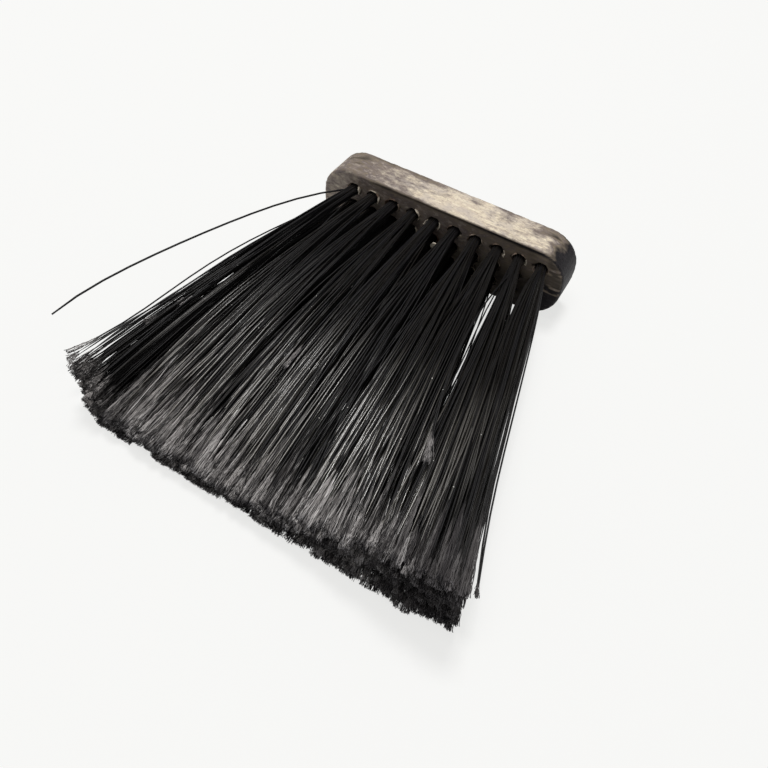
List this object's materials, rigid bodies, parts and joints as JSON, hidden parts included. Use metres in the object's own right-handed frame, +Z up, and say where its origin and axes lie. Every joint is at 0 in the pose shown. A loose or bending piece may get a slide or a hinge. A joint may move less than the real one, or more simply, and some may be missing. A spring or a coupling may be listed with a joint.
{
  "type": "hearth brush head",
  "caption": "Head of a hearth brush: an oblong wooden block with rows of long dark bristles that fan out and have sagged to the side it lies on.",
  "frame": {"origin": "centre of the block's flat back face", "axes": "+Y out of the block's back face, away from the bristles; +X along the block, the fan's longest way; +Z up across the block's width as it lies on one long side, the shortest way"},
  "size_m": [0.1618, 0.143, 0.03],
  "materials": {
    "wood": "worn stain, matt",
    "bristle": "satin filament with flagged ends"
  },
  "bodies": {
    "root": {"block": "wood", "tuft_top_01": "bristle", "tuft_top_02": "bristle", "tuft_top_03": "bristle", "tuft_top_04": "bristle", "tuft_top_05": "bristle", "tuft_top_06": "bristle", "tuft_top_07": "bristle", "tuft_top_08": "bristle", "tuft_top_09": "bristle", "tuft_top_10": "bristle", "tuft_middle_01": "bristle", "tuft_middle_02": "bristle", "tuft_middle_03": "bristle", "tuft_middle_04": "bristle", "tuft_middle_05": "bristle", "tuft_middle_06": "bristle", "tuft_middle_07": "bristle", "tuft_middle_08": "bristle", "tuft_middle_09": "bristle", "tuft_middle_10": "bristle", "tuft_bottom_01": "bristle", "tuft_bottom_02": "bristle", "tuft_bottom_03": "bristle", "tuft_bottom_04": "bristle", "tuft_bottom_05": "bristle", "tuft_bottom_06": "bristle", "tuft_bottom_07": "bristle", "tuft_bottom_08": "bristle", "tuft_bottom_09": "bristle", "tuft_bottom_10": "bristle"}
  },
  "joints": []
}
